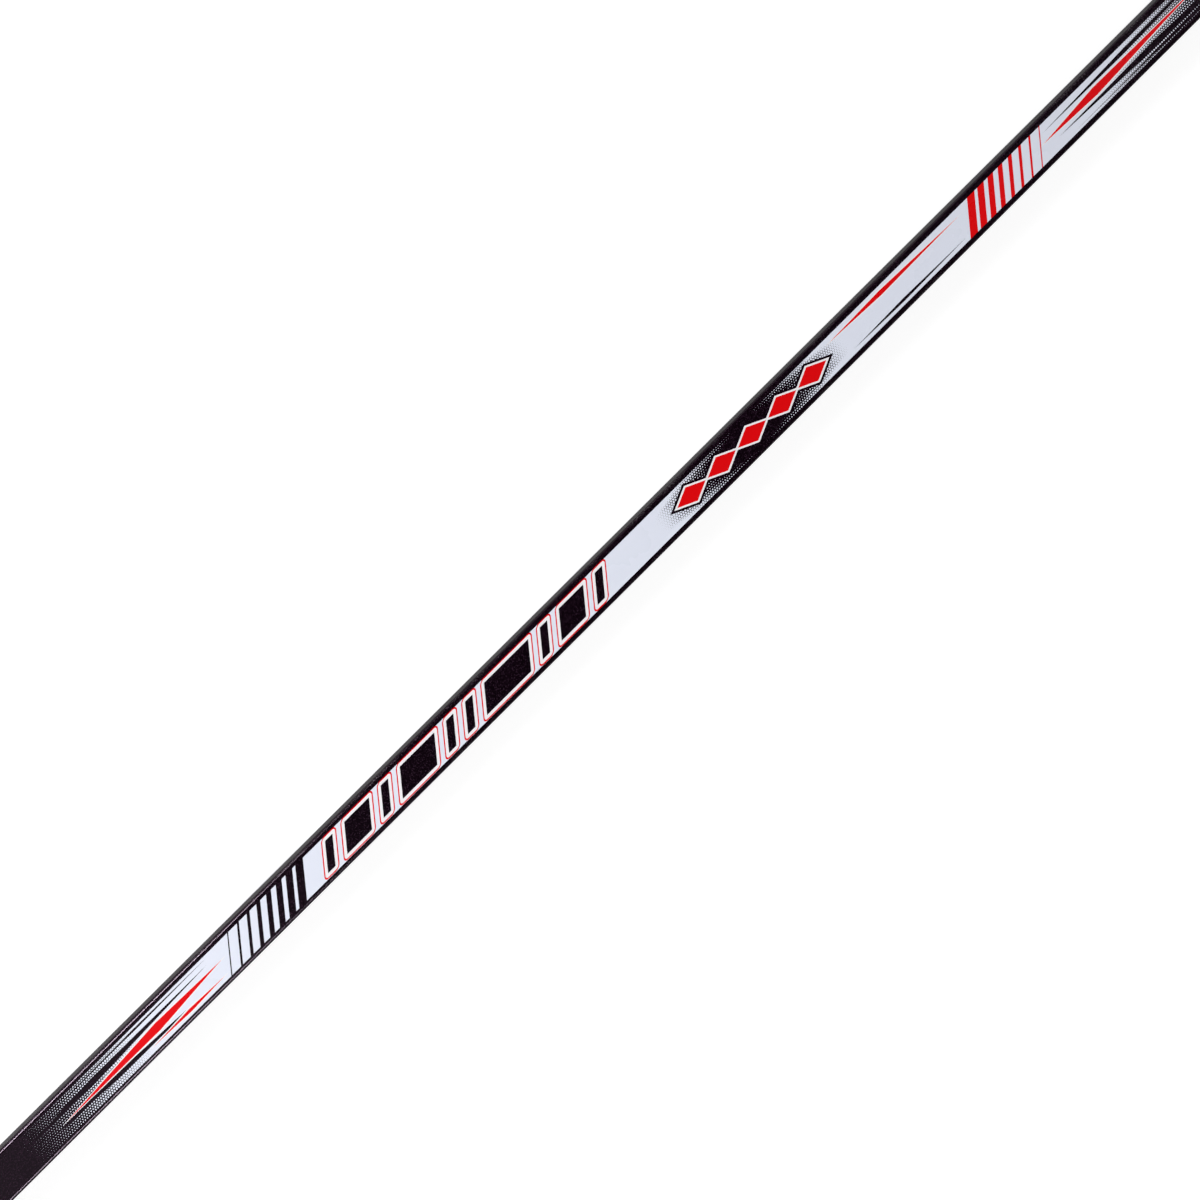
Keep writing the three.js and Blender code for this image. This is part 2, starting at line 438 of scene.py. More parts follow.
@node_group(
    "fine_grain",
    {"Position": vector(), "Size": number(MM), "Detail": number(2.0), "Softness": number(0.15)},
    {"Flecks": "NodeSocketFloat", "Height": "NodeSocketFloat"})
def grain_group(w, entry, leave):
    """Fine even grain: a mask of flecks and a height for a bump."""
    noise = w.noise(entry["Position"], entry["Size"], entry["Detail"], Roughness=0.6)
    low, high = FLECK_LEVEL - entry["Softness"], FLECK_LEVEL + entry["Softness"]
    w.put(w.ramp(noise, low, high), leave["Flecks"])
    w.put(noise, leave["Height"])


@node_group(
    "edge_wear",
    {"Position": vector(), "Half width": number(10 * MM), "Half depth": number(10 * MM),
     "Centre height": number(10 * MM), "Radius": number(2 * MM), "Amount": number(0.5)},
    {"Worn": "NodeSocketFloat"})
def edge_wear_group(w, entry, leave):
    """Where the long edges of a box-section piece are rubbed: a mask near its rounded corners."""
    _, across, up = w.parts(entry["Position"])
    radius = entry["Radius"]
    shares = [(abs(place) - (half - radius)) / radius
              for place, half in ((across, entry["Half width"]),
                                  (up - entry["Centre height"], entry["Half depth"]))]
    corner = w.ramp(w.either(shares), *RUBBED_CORNER)
    patches = w.ramp(w.noise(entry["Position"], RUBBED_PATCH_SIZE, detail=4.0), *RUBBED_PATCH_LEVELS)
    scratches = w.ramp(w.noise(entry["Position"], SCRATCH_SIZE, detail=3.0), *SCRATCH_LEVELS)
    w.put(corner * (patches * scratches) * entry["Amount"], leave["Worn"])


@node_group(
    "handling_marks",
    {"Position": vector(), "Size": number(40 * MM), "Amount": number(0.05)},
    {"Shift": "NodeSocketFloat"})
def handling_group(w, entry, leave):
    """Broad soft unevenness of a handled gloss surface: a value that shifts its roughness."""
    noise = w.noise(entry["Position"], entry["Size"], detail=5.0)
    w.put((noise - 0.5) * (entry["Amount"] * 2.0), leave["Shift"])


# Shader groups of the print. Their lengths are in millimetres along and across the film.


def motif_group(name, inputs):
    """A group that gives the distance to a motif, below 0 inside it, from a place on the film."""
    return node_group(name, {"Along": number(), "Across": number(), **inputs},
                      {"Distance": "NodeSocketFloat"})


@motif_group("slanted_block", {
    "Centre": number(), "Centre across": number(), "Half length": number(10.0),
    "Half height": number(5.0), "Slant": number(0.5)})
def slanted_block_group(w, entry, leave):
    """A slanted block. Outside it, its corners are round."""
    rise = entry["Across"] - entry["Centre across"]
    run = entry["Along"] - entry["Centre"] - rise * entry["Slant"]
    narrowing = w.maths("SQRT", entry["Slant"] * entry["Slant"] + 1.0)
    end_gap = (abs(run) - entry["Half length"]) / narrowing
    side_gap = abs(rise) - entry["Half height"]
    end_out = w.maths("MAXIMUM", end_gap, 0.0)
    side_out = w.maths("MAXIMUM", side_gap, 0.0)
    outside = w.maths("SQRT", end_out * end_out + side_out * side_out)
    inside = w.maths("MINIMUM", w.maths("MAXIMUM", end_gap, side_gap), 0.0)
    w.put(outside + inside, leave["Distance"])


@motif_group("diamond", {
    "Centre": number(), "Centre across": number(), "Half length": number(14.0),
    "Half height": number(6.0)})
def diamond_group(w, entry, leave):
    """A diamond."""
    run = abs(entry["Along"] - entry["Centre"])
    rise = abs(entry["Across"] - entry["Centre across"])
    long, high = entry["Half length"], entry["Half height"]
    side = w.maths("SQRT", long * long + high * high)
    w.put((run / long + rise / high - 1.0) * (long * high / side), leave["Distance"])


@motif_group("needle", {
    "Start": number(), "Widest": number(), "End": number(100.0), "Centre across": number(),
    "Half height": number(1.0), "Slope": number()})
def needle_group(w, entry, leave):
    """A stripe that swells and tapers along the film."""
    along, start, widest, end = (entry[name] for name in ("Along", "Start", "Widest", "End"))
    fullness = w.maths("MINIMUM", (along - start) / (widest - start), (end - along) / (end - widest))
    rise = entry["Across"] - entry["Centre across"] - (along - widest) * entry["Slope"]
    sideways = abs(rise) - fullness * entry["Half height"]
    w.put(w.either((sideways, start - along, along - end), "MAXIMUM"), leave["Distance"])


@motif_group("dot_rows", {"Pitch": number(2.0), "Row gap": number(3.0), "Shift": number()})
def dot_rows_group(w, entry, leave):
    """How far away the middle of the nearest dot is, in rows of evenly spaced dots."""
    squares = []
    for place, step in ((entry["Along"], entry["Pitch"]), (entry["Across"], entry["Row gap"])):
        gap = (w.maths("FRACT", place / step + entry["Shift"]) - 0.5) * step
        squares.append(gap * gap)
    w.put(w.maths("SQRT", squares[0] + squares[1]), leave["Distance"])


@node_group(
    "halftone",
    {"Along": number(), "Across": number(), "Pitch": number(2.0), "Tone": number(0.5)},
    {"White": "NodeSocketFloat"})
def halftone_group(w, entry, leave):
    """White dots on black that grow with the tone until they cover all. Two sets of rows, half a
    step apart both ways, make the staggered rows."""
    pitch = entry["Pitch"]
    dots = {"Along": entry["Along"], "Across": entry["Across"], "Pitch": pitch,
            "Row gap": pitch * ROW_GAP_SHARE}
    distances = [w.group(dot_rows_group(), {**dots, "Shift": shift}) for shift in (0.0, 0.5)]
    nearest = w.either(distances) / pitch
    w.put(w.maths("LESS_THAN", nearest, entry["Tone"] * FULL_DOT_SHARE), leave["White"])


# The print's layout, in millimetres along the stick's X and across the film.
# Each fade is its place with no silver and its place with full silver.
# Dots and the gaps of their rows are shares of their pitch.
ROW_GAP_SHARE, FULL_DOT_SHARE = 1.62, 0.60
PANEL_DRIFT, PANEL_DRIFT_SLOPE, PANEL_TAPER_SLOPE = -0.148, 0.00026, 0.00045
TIP_FADE = (-460.0, -354.0)
BUTT_FADE, BUTT_FADE_SLANT = (552.0, 406.0), 2.0
PATCH_CENTRE, PATCH_FADE = 128.0, (22.0, 82.0)
PATCH_EDGE_WIDTH, PATCH_EDGE_STEEPNESS = 4.0, 5.0
BLOCK_HALF_HEIGHT, BLOCK_SLANT = 7.3, 0.8
BLOCK_WHITE_LINE, BLOCK_RED_LINE = 1.7, 0.7
BLOCK_ROW_START, BLOCK_GAP = -220.0, 9.5
BLOCK_LENGTHS = (6.0, 20.0, 6.0, 28.0, 6.0, 6.0, 36.0, 6.0, 20.0, 6.0)
DIAMOND_COUNT, DIAMOND_PITCH = 5, 25.0
DIAMOND_HALF_LENGTH, DIAMOND_HALF_HEIGHT = 11.6, 5.3
DIAMOND_WHITE_LINE, DIAMOND_BLACK_LINE = 1.1, 1.3
BAR_COUNT, BAR_PITCH, BAR_SLANT, BAR_HALF_HEIGHT = 8, 8.2, 0.8, 20.0
BAR_WIDEST, BAR_NARROWEST = 3.1, 0.45
TIP_BARS_START, BUTT_BARS_START = -298.0, 312.0
RED_ON_BORDER_SHARE = 0.35

# Needles: start, widest place, end, place across, half height, slope
BLACK_NEEDLES = (
    (-468.0, -404.0, -312.0, 3.4, 1.95, 0.014),
    (-458.0, -390.0, -318.0, -4.6, 1.55, -0.024),
    (-424.0, -366.0, -309.0, 7.8, 0.65, 0.0),
    (382.0, 462.0, 575.0, -4.4, 2.0, -0.010),
    (376.0, 446.0, 560.0, 5.7, 1.3, 0.012),
    (392.0, 480.0, 590.0, -8.0, 0.6, 0.0),
    (206.0, 248.0, 300.0, -7.0, 0.9, 0.0),
)
RED_NEEDLES = (
    (-430.0, -356.0, -304.0, -0.6, 2.5, 0.026),
    (-366.0, -336.0, -309.0, -7.2, 1.0, 0.0),
    (372.0, 416.0, 508.0, 0.7, 2.45, 0.018),
    (198.0, 240.0, 305.0, 5.7, 1.4, -0.008),
)
NEEDLE_WHITE_LINE, NEEDLE_WHITE_END = 0.9, 4.0


def block_row():
    """The blocks' centres and half lengths, laid one after another."""
    start = BLOCK_ROW_START
    for length in BLOCK_LENGTHS:
        yield start + length / 2, length / 2
        start += length + BLOCK_GAP


def white_needles():
    """The needles under the red ones, a little higher and longer, that leave a white outline."""
    for start, widest, end, across, half_height, slope in RED_NEEDLES:
        yield (start - NEEDLE_WHITE_END, widest, end + NEEDLE_WHITE_END, across,
               half_height + NEEDLE_WHITE_LINE, slope)


def diamond_row():
    first = PATCH_CENTRE - DIAMOND_PITCH * (DIAMOND_COUNT - 1) / 2
    return [first + i * DIAMOND_PITCH for i in range(DIAMOND_COUNT)]


def bar_row(start, direction):
    """Centres and half lengths of slanted bars that get thinner in the stated direction."""
    for i in range(BAR_COUNT):
        share = i / (BAR_COUNT - 1)
        half = BAR_WIDEST + (BAR_NARROWEST - BAR_WIDEST) * share
        place = i if direction > 0 else BAR_COUNT - 1 - i
        yield start + place * BAR_PITCH, half


@node_group(
    "film_print",
    {"Position": vector(), "Side": number(1.0), "Panel half width": number(10.0),
     "Pitch": number(2.0), "Silver": colour(), "White": colour(), "Red": colour(),
     "Black": colour()},
    {"Color": "NodeSocketColor", "Black": "NodeSocketFloat"})
def print_group(w, entry, leave):
    """The whole print: silver panel, dot fades, needles, bars, blocks and diamonds."""
    x, y, _ = w.parts(entry["Position"])
    along, across = x * MM_PER_METRE, y * MM_PER_METRE * entry["Side"]
    place = {"Along": along, "Across": across}

    # The panel narrows and drifts a little towards the butt
    drift = along * PANEL_DRIFT_SLOPE + PANEL_DRIFT
    edge = abs(across - drift) - (entry["Panel half width"] - along * PANEL_TAPER_SLOPE)
    off_panel = 1.0 - w.maths("LESS_THAN", edge, 0.0)

    # Tone of the ground, from 0 black to 1 silver
    near_edge = w.maths("MAXIMUM", edge + PATCH_EDGE_WIDTH, 0.0)
    from_patch = abs(along - PATCH_CENTRE) + near_edge * PATCH_EDGE_STEEPNESS
    fades = ((along, TIP_FADE), (along - across * BUTT_FADE_SLANT, BUTT_FADE), (from_patch, PATCH_FADE))
    tone = w.either([w.ramp(where, *fade, "LINEAR") for where, fade in fades])
    ground = w.group(halftone_group(), {**place, "Pitch": entry["Pitch"], "Tone": tone})

    def within(tree, rows, limit=0.0):
        """1 where the nearest of many motifs, each given by its own values, is nearer than the limit."""
        distances = [w.group(tree, {**place, **row}) for row in rows]
        return w.maths("LESS_THAN", w.either(distances), limit)

    def needles(rows):
        names = "Start", "Widest", "End", "Centre across", "Half height", "Slope"
        return within(needle_group(), [dict(zip(names, row)) for row in rows])

    def slanted(row, half_height, slant, limit=0.0):
        return within(slanted_block_group(), [
            {"Centre": centre, "Half length": length, "Half height": half_height, "Slant": slant}
            for centre, length in row], limit)

    def bars(start, direction):
        return slanted(bar_row(start, direction), BAR_HALF_HEIGHT, BAR_SLANT)

    def blocks(limit):
        return slanted(block_row(), BLOCK_HALF_HEIGHT, BLOCK_SLANT, limit)

    def diamonds(limit):
        return within(diamond_group(), [
            {"Centre": centre, "Half length": DIAMOND_HALF_LENGTH,
             "Half height": DIAMOND_HALF_HEIGHT} for centre in diamond_row()], limit)

    lined_blocks, white_blocks = blocks(BLOCK_WHITE_LINE + BLOCK_RED_LINE), blocks(BLOCK_WHITE_LINE)
    layers = (
        (needles(BLACK_NEEDLES), "Black"),
        (needles(white_needles()), "White"),
        (needles(RED_NEEDLES), "Red"),
        (bars(TIP_BARS_START, -1), "Black"),
        (bars(BUTT_BARS_START, 1), "Red"),
        (lined_blocks, "Red"),
        (white_blocks, "White"),
        (blocks(0.0), "Black"),
        (diamonds(DIAMOND_WHITE_LINE + DIAMOND_BLACK_LINE), "Black"),
        (diamonds(DIAMOND_WHITE_LINE), "White"),
        (diamonds(0.0), "Red"),
        (off_panel, "Black"),
    )
    art = w.mixed(ground, entry["Black"], entry["Silver"])
    black = 1.0 - ground
    for mask, ink in layers:
        art = w.mixed(mask, art, entry[ink])
        black = black * (1.0 - mask)
        if ink == "Black":
            black = black + mask

    # The blocks' red line runs on over the black border, darkened by the black under it
    on_border = (lined_blocks - white_blocks) * off_panel
    w.put(w.mixed(on_border * RED_ON_BORDER_SHARE, art, entry["Red"]), leave["Color"])
    w.put(black, leave["Black"])


# Materials

# Values here are the ones that no setting holds. Marks are those that handling leaves on the gloss,
# and a pair of roughnesses is what the pattern adds and what is there without it.
PAINT_ROUGHNESS, FLECK_DETAIL, FLECK_SOFTNESS, FLECK_ROUGHENING = 0.18, 3.0, 0.08, 0.10
PAINT_SPECULAR, PAINT_GLINT, PAINT_BUMP, PAINT_RELIEF = 0.45, (1.0, 0.8, 1.0, 1.0), 0.12, 0.05 * MM
PAINT_MARKS = {"Size": 45 * MM, "Amount": 0.04}
RUBBED_PAINT, RUBBED_PAINT_AMOUNT, RUBBED_PAINT_ROUGHENING = (0.09, 0.085, 0.09), 0.5, 0.25
SATIN_ROUGHNESS, SILVER_CLOUD_SIZE, SILVER_CLOUDING = 0.28, 9 * MM, 0.03
INK_RISE, INK_MARKS = 0.5, {"Size": 60 * MM, "Amount": 0.06}
PLASTIC_PALENESS, PLASTIC_FLECKING = 1.9, 0.45
PLASTIC_GRAIN, PLASTIC_MARKS = {"Detail": 4.0, "Softness": 0.171}, {"Size": 18 * MM, "Amount": 0.10}
PLASTIC_BUMP, PLASTIC_RELIEF = 0.4, 0.1 * MM
TIP_FINISH = {"grain_size": 0.55 * MM, "roughness": 0.5, "wear": 0.8}
PLUG_FINISH = {"grain_size": 0.6 * MM, "roughness": 0.55, "wear": 0.7}
RUBBED_PLASTIC = (0.075, 0.074, 0.08)
DEEP_AMBER, PALE_AMBER, GLUE_ROUGHNESSES = (0.52, 0.38, 0.17), (0.78, 0.66, 0.42), (0.2, 0.3)
GLUE_CLOUD_SIZE, GLUE_RIPPLE_SIZE, GLUE_BUMP, GLUE_RELIEF = 7 * MM, 2.4 * MM, 0.35, 0.3 * MM
# The foam's darker cell colour is painted shade: the cells are pits in the bump and darker than the
# skin.
FOAM_SHADED_PIT, FOAM_SKIN, FOAM_ROUGHNESSES = (0.50, 0.48, 0.42), (0.84, 0.82, 0.75), (0.12, 0.82)
FOAM_CELL_SIZE, FOAM_RIM, FOAM_BUMP, FOAM_RELIEF = 1.1 * MM, (0.1, 0.75), 0.6, 0.5 * MM


def emptied(owner):
    """The wiring of a material or a world, with none of the nodes that it starts with."""
    owner.use_nodes = True
    owner.node_tree.nodes.clear()
    return Wiring(owner.node_tree)


def new_material(name):
    """A material, its wiring, the inputs of its shader and the place on the stick."""
    material = bpy.data.materials.new(name)
    w = emptied(material)
    shader = w.node("ShaderNodeBsdfPrincipled")
    w.node("ShaderNodeOutputMaterial", {"Surface": shader})
    return material, w, shader.node.inputs, w.node("ShaderNodeTexCoord")["Object"]


def set_surface(w, shader, tint, roughness, height, strength, relief):
    """Gives a shader its colour, its roughness and its bumps."""
    w.put(tint, shader["Base Color"])
    w.put(roughness, shader["Roughness"])
    bumps = w.node("ShaderNodeBump", {"Height": height, "Strength": strength, "Distance": relief})
    w.put(bumps, shader["Normal"])


def set_glint(shader):
    """The gloss of the paint and of the film over it."""
    shader["Specular IOR Level"].default_value = PAINT_SPECULAR
    shader["Specular Tint"].default_value = PAINT_GLINT


def rubbed_edges(w, position, amount, radius):
    return w.group(edge_wear_group(), {
        "Position": position, "Half width": SHAFT_WIDTH / 2, "Half depth": SHAFT_DEPTH / 2,
        "Centre height": CENTRE_Z, "Radius": radius, "Amount": amount})


def flecked_black(w, position, settings):
    """The shaft's paint: its colour, roughness and bump height, all broken up by fine flecks."""
    grain = w.group(grain_group(), {"Position": position, "Size": settings.fleck_size,
                                    "Detail": FLECK_DETAIL, "Softness": FLECK_SOFTNESS})
    flecks = grain["Flecks"]
    marks = w.group(handling_group(), {"Position": position, **PAINT_MARKS})
    tint = w.mixed(flecks, (*settings.paint, 1), (*settings.fleck, 1))
    return tint, PAINT_ROUGHNESS + marks + flecks * FLECK_ROUGHENING, grain["Height"]


def shaft_paint(settings):
    """Fine-grained black paint with a faint fleck, under a thin gloss."""
    material, w, shader, position = new_material("flecked_black_paint")
    tint, rough, height = flecked_black(w, position, settings)
    worn = rubbed_edges(w, position, RUBBED_PAINT_AMOUNT, settings.corner_radius)
    set_surface(w, shader, w.mixed(worn, tint, (*RUBBED_PAINT, 1)),
                rough + worn * RUBBED_PAINT_ROUGHENING, height, PAINT_BUMP, PAINT_RELIEF)
    set_glint(shader)
    return material


def film_ink(name, settings, paint, side):
    """Satin printed film. The side is 1 for the front and -1 for the back, so both read alike."""
    material, w, shader, position = new_material(name)
    black, black_rough, height = flecked_black(w, position, paint)
    art = w.group(print_group(), {
        "Position": position, "Side": side,
        "Panel half width": settings.panel_half_width * MM_PER_METRE,
        "Pitch": settings.dot_pitch * MM_PER_METRE,
        "Silver": (*settings.silver, 1), "White": (*settings.white, 1),
        "Red": (*settings.red, 1), "Black": black})
    kept = 1.0 - w.noise(position, SILVER_CLOUD_SIZE, detail=3.0) * SILVER_CLOUDING
    clouded = w.node("ShaderNodeVectorMath", {0: art["Color"], "Scale": kept}, operation="SCALE")
    marks = w.group(handling_group(), {"Position": position, **INK_MARKS})
    dark = art["Black"]
    rough = black_rough * dark + (SATIN_ROUGHNESS + marks) * (1.0 - dark)
    set_surface(w, shader, clouded, rough, height + dark * INK_RISE, PAINT_BUMP, PAINT_RELIEF)
    set_glint(shader)
    return material


def moulded_plastic(name, tint, radius, grain_size, roughness, wear):
    """Matt moulded plastic with a pebbled grain, flow marks and rubbed edges."""
    material, w, shader, position = new_material(name)
    grain = w.group(grain_group(), {"Position": position, "Size": grain_size, **PLASTIC_GRAIN})
    marks = w.group(handling_group(), {"Position": position, **PLASTIC_MARKS})
    worn = rubbed_edges(w, position, wear, radius)
    pale = tuple(PLASTIC_PALENESS * part for part in tint)
    speckled = w.mixed(grain["Flecks"] * PLASTIC_FLECKING, (*tint, 1), (*pale, 1))
    set_surface(w, shader, w.mixed(worn, speckled, (*RUBBED_PLASTIC, 1)), roughness + marks,
                grain["Height"], PLASTIC_BUMP, PLASTIC_RELIEF)
    return material


def hot_melt():
    """Set glue: waxy, amber, a little cloudy and uneven."""
    material, w, shader, position = new_material("set_hot_melt")
    cloud = w.noise(position, GLUE_CLOUD_SIZE, detail=5.0)
    set_surface(w, shader, w.mixed(cloud, (*DEEP_AMBER, 1), (*PALE_AMBER, 1)),
                w.maths("MULTIPLY_ADD", cloud, *GLUE_ROUGHNESSES),
                w.noise(position, GLUE_RIPPLE_SIZE, detail=2.0), GLUE_BUMP, GLUE_RELIEF)
    return material


def closed_cell_foam():
    """Cut closed-cell foam, pale with small round cells, with painted shade darkening the cells' pits.
    """
    material, w, shader, position = new_material("closed_cell_foam")
    cells = w.node("ShaderNodeTexVoronoi", {"Vector": position, "Scale": 1 / FOAM_CELL_SIZE})
    rim = w.ramp(cells, *FOAM_RIM)
    # The cells' pits, low in the bump, get the darker colour: painted shade.
    set_surface(w, shader, w.mixed(rim, (*FOAM_SHADED_PIT, 1), (*FOAM_SKIN, 1)),
                w.maths("MULTIPLY_ADD", rim, *FOAM_ROUGHNESSES), rim, FOAM_BUMP, FOAM_RELIEF)
    return material


# Meshes


def rounded_rectangle(width, depth, radius):
    """Points of a rectangle with rounded corners, counterclockwise seen from the +X end."""
    points = []
    corners = ((1, 1), (-1, 1), (-1, -1), (1, -1))
    for side, (way_y, way_z) in enumerate(corners):
        for i in range(CORNER_STEPS + 1):
            angle = (side + i / CORNER_STEPS) * QUARTER_TURN
            points.append((way_y * (width / 2 - radius) + radius * math.cos(angle),
                           way_z * (depth / 2 - radius) + radius * math.sin(angle)))
    return points


def shaft_outline(inset, radius):
    """The shaft's section, smaller by the inset on every side, with corners of the radius."""
    return rounded_rectangle(SHAFT_WIDTH - 2 * inset, SHAFT_DEPTH - 2 * inset, radius)


def drawn_in(outline, inset):
    """The shaft's whole section, scaled so that each side moves in by the inset."""
    across, up = 1 - 2 * inset / SHAFT_WIDTH, 1 - 2 * inset / SHAFT_DEPTH
    return [(y * across, z * up) for y, z in outline]


def with_flats(points):
    """The same outline with each long flat in equal lengths, so that it can become an oval."""
    quarter = len(points) // 4
    result = []
    for i, point in enumerate(points):
        result.append(point)
        if (i + 1) % quarter == 0:
            after = points[(i + 1) % len(points)]
            for j in range(1, FLAT_STEPS):
                share = j / FLAT_STEPS
                result.append(tuple(a + (b - a) * share for a, b in zip(point, after)))
    return result


def as_mesh(name, made):
    """Turns what was built into a mesh and lets go of the builder."""
    mesh = bpy.data.meshes.new(name)
    made.to_mesh(mesh)
    made.free()
    return mesh


def loft(name, sections):
    """A closed mesh through sections, each its place along X and its outline about the centre line."""
    made = bmesh.new()
    rings = [[made.verts.new((x, y, CENTRE_Z + z)) for y, z in outline] for x, outline in sections]
    for lower, upper in zip(rings, rings[1:]):
        for i, corner in enumerate(lower):
            j = (i + 1) % len(lower)
            made.faces.new((corner, lower[j], upper[j], upper[i]))
    made.faces.new(list(reversed(rings[0])))
    made.faces.new(rings[-1])
    bmesh.ops.recalc_face_normals(made, faces=made.faces)
    return as_mesh(name, made)


def shade(mesh):
    """Smooth faces, with the edges that turn a lot left sharp."""
    made = bmesh.new()
    made.from_mesh(mesh)
    for face in made.faces:
        face.smooth = True
    for edge in made.edges:
        edge.smooth = edge.calc_face_angle(0.0) < SHARP_ANGLE
    made.to_mesh(mesh)
    made.free()


def put_in_scene(name, mesh, *materials):
    piece = bpy.data.objects.new(name, mesh)
    bpy.context.scene.collection.objects.link(piece)
    for material in materials:
        piece.data.materials.append(material)
    return piece


def finish_piece(piece, node):
    """Hides the part that the piece stands in for and hangs the piece on the body."""
    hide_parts(node)
    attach(piece, BODY)


def made_plain(piece):
    """Turns a piece with modifiers into a plain mesh without them."""
    graph = bpy.context.evaluated_depsgraph_get()
    mesh = bpy.data.meshes.new_from_object(piece.evaluated_get(graph), depsgraph=graph)
    piece.modifiers.clear()
    old = piece.data
    piece.data = mesh
    bpy.data.meshes.remove(old)


def add_tree(piece, tree, values):
    """Puts a geometry node tree on a piece and sets its inputs by their identifiers."""
    modifier = piece.modifiers.new(tree.name, "NODES")
    modifier.node_group = tree
    for item in tree.interface.items_tree:
        if item.item_type == "SOCKET" and item.in_out == "INPUT" and item.name in values:
            modifier[item.identifier] = values[item.name]


def geometry_group(name, inputs):
    """A group that makes or changes a piece's shape and sets its finish."""
    given = {"Geometry": ("NodeSocketGeometry", None), **inputs,
             "Finish": ("NodeSocketMaterial", None)}
    return node_group(name, given, {"Geometry": "NodeSocketGeometry"}, "GeometryNodeTree")


def last_steps(w, geometry, entry, leave):
    """Each tree ends alike: instances made real, and the finish set."""
    real = w.node("GeometryNodeRealizeInstances", {"Geometry": geometry})
    finish = w.node("GeometryNodeSetMaterial", {"Geometry": real, "Material": entry["Finish"]})
    w.put(finish, leave["Geometry"])


def joined(w, pieces):
    """Many geometries as one. They all go into the same socket."""
    whole = w.node("GeometryNodeJoinGeometry")
    for piece in pieces:
        w.put(piece, whole.node.inputs[0])
    return whole


@geometry_group("swept_box_tube", {
    "Length": number(1.0), "Width": number(20 * MM), "Depth": number(20 * MM),
    "Wall": number(2 * MM), "Corner radius": number(2 * MM), "Bore radius": number(MM),
    "Corner steps": whole_number(8), "Strips": whole_number(10),
    "Start": ("NodeSocketVector", (0, 0, 0))})
def swept_tube_tree(w, entry, leave):
    """A box section with round corners and a bore, swept along X and closed at both ends."""
    far = w.node("ShaderNodeCombineXYZ", {2: entry["Length"]})
    line = w.node("GeometryNodeCurvePrimitiveLine", {"End": far})
    path = w.node("GeometryNodeResampleCurve", {"Curve": line, "Count": entry["Strips"] + 1.0})
    outlines = []
    for narrower, radius in ((0.0, entry["Corner radius"]),
                             (entry["Wall"] * 2.0, entry["Bore radius"])):
        box = w.node("GeometryNodeCurvePrimitiveQuadrilateral", {
            "Width": entry["Width"] - narrower, "Height": entry["Depth"] - narrower})
        outlines.append(w.node("GeometryNodeFilletCurve", {
            "Curve": box, "Radius": radius, "Count": entry["Corner steps"]}, mode="POLY"))
    walls = [w.node("GeometryNodeCurveToMesh", {"Curve": path, "Profile Curve": outline})
             for outline in outlines]
    end = w.node("GeometryNodeFillCurve", {"Curve": joined(w, outlines)}, mode="NGONS")
    near_end = w.node("GeometryNodeFlipFaces", {"Mesh": end})
    far_end = w.node("GeometryNodeTransform", {"Geometry": end, "Translation": far})
    merged = w.node("GeometryNodeMergeByDistance", {
        "Geometry": joined(w, (*walls, near_end, far_end)), "Distance": MERGE_DISTANCE})
    turned = w.node("GeometryNodeTransform", {
        "Geometry": merged, "Translation": entry["Start"],
        "Rotation": (QUARTER_TURN, 0.0, QUARTER_TURN)})
    last_steps(w, turned, entry, leave)


@geometry_group("drag_grooves", {
    "First": number(), "Pitch": number(5 * MM), "Count": whole_number(5),
    "Width": number(2 * MM), "Depth": number(MM), "Softness": number(0.1 * MM),
    "Centre height": number(10 * MM), "Taper start": number(), "Taper end": number(0.1),
    "Start half depth": number(5 * MM), "End half depth": number(10 * MM), "Reach": number()})
def drag_groove_tree(w, entry, leave):
    """Presses evenly spaced round grooves across both wide faces of the tip."""
    first, pitch, depth, centre = (
        entry[name] for name in ("First", "Pitch", "Depth", "Centre height"))
    x, y, z = w.parts(w.node("GeometryNodeInputPosition"))
    steps = w.maths("ROUND", (x - first) / pitch)
    groove = w.maths("MAXIMUM", w.maths("MINIMUM", steps, entry["Count"] - 1.0), 0.0)
    middle = first + groove * pitch
    gap = x - middle
    half_depth = w.node("ShaderNodeMapRange", {
        0: middle, 1: entry["Taper start"], 2: entry["Taper end"],
        3: entry["Start half depth"], 4: entry["End half depth"]})
    half_width = entry["Width"] * 0.5
    radius = (half_width * half_width + depth * depth) / (depth * 2.0)
    sag = w.maths("SQRT", w.maths("MAXIMUM", radius * radius - gap * gap, 0.0))
    floor = half_depth - depth + radius - sag
    rise = z - centre
    pressed = w.maths("SMOOTH_MIN", abs(rise), floor, entry["Softness"])
    new_z = centre + pressed * w.maths("SIGN", rise)
    near = w.maths("LESS_THAN", abs(gap), entry["Width"] * GROOVE_REACH_SHARE)
    on_tip = w.maths("LESS_THAN", x, entry["Reach"])
    moved = w.node("GeometryNodeSetPosition", {
        "Geometry": entry["Geometry"], "Selection": near * on_tip,
        "Position": w.node("ShaderNodeCombineXYZ", {0: x, 1: y, 2: new_z})})
    last_steps(w, moved, entry, leave)


def add_map(mesh, side, place):
    """Adds the map that a finish is baked through. place gives a corner's spot on it in metres."""
    layer = mesh.uv_layers.new(name=MAP_NAME)
    for face in mesh.polygons:
        for index in face.loop_indices:
            point = mesh.vertices[mesh.loops[index].vertex_index].co
            layer.data[index].uv = tuple(length / side for length in place(face, point))
    mesh.uv_layers.active = layer


